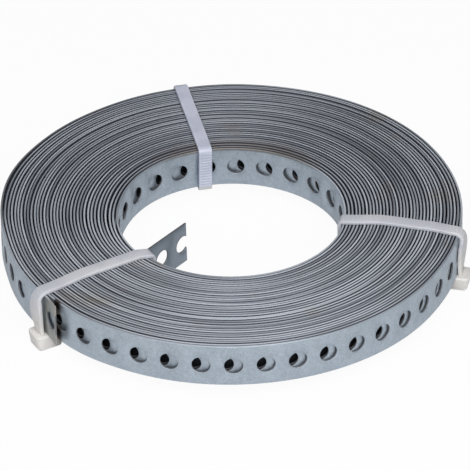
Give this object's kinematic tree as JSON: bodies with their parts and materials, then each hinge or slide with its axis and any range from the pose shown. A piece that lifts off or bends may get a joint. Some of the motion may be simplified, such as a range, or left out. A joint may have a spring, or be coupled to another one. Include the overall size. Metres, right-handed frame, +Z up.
{
  "type": "roll of perforated metal strap",
  "caption": "Flat coil of galvanised perforated steel strap, its bent inner end standing in the open middle and its cut outer end sprung free, held by cable ties round its section.",
  "frame": {"origin": "on the coil's axis, at floor level under the tie heads that carry the coil", "axes": "+Z up along the coil's axis; +X to the right and +Y away from the side where both cut ends of the strap lie to the left"},
  "size_m": [0.1243, 0.124, 0.0174],
  "materials": {
    "galvanised_steel": "hot-dip galvanised strip, satin bluish grey, with fine light and dark lines where the edges of the turns lie side by side",
    "nylon": "natural nylon, milky white and slightly translucent"
  },
  "bodies": {
    "root": {"strap_roll": "galvanised_steel", "cable_tie_back": "nylon", "cable_tie_left": "nylon", "cable_tie_right": "nylon"}
  },
  "joints": []
}
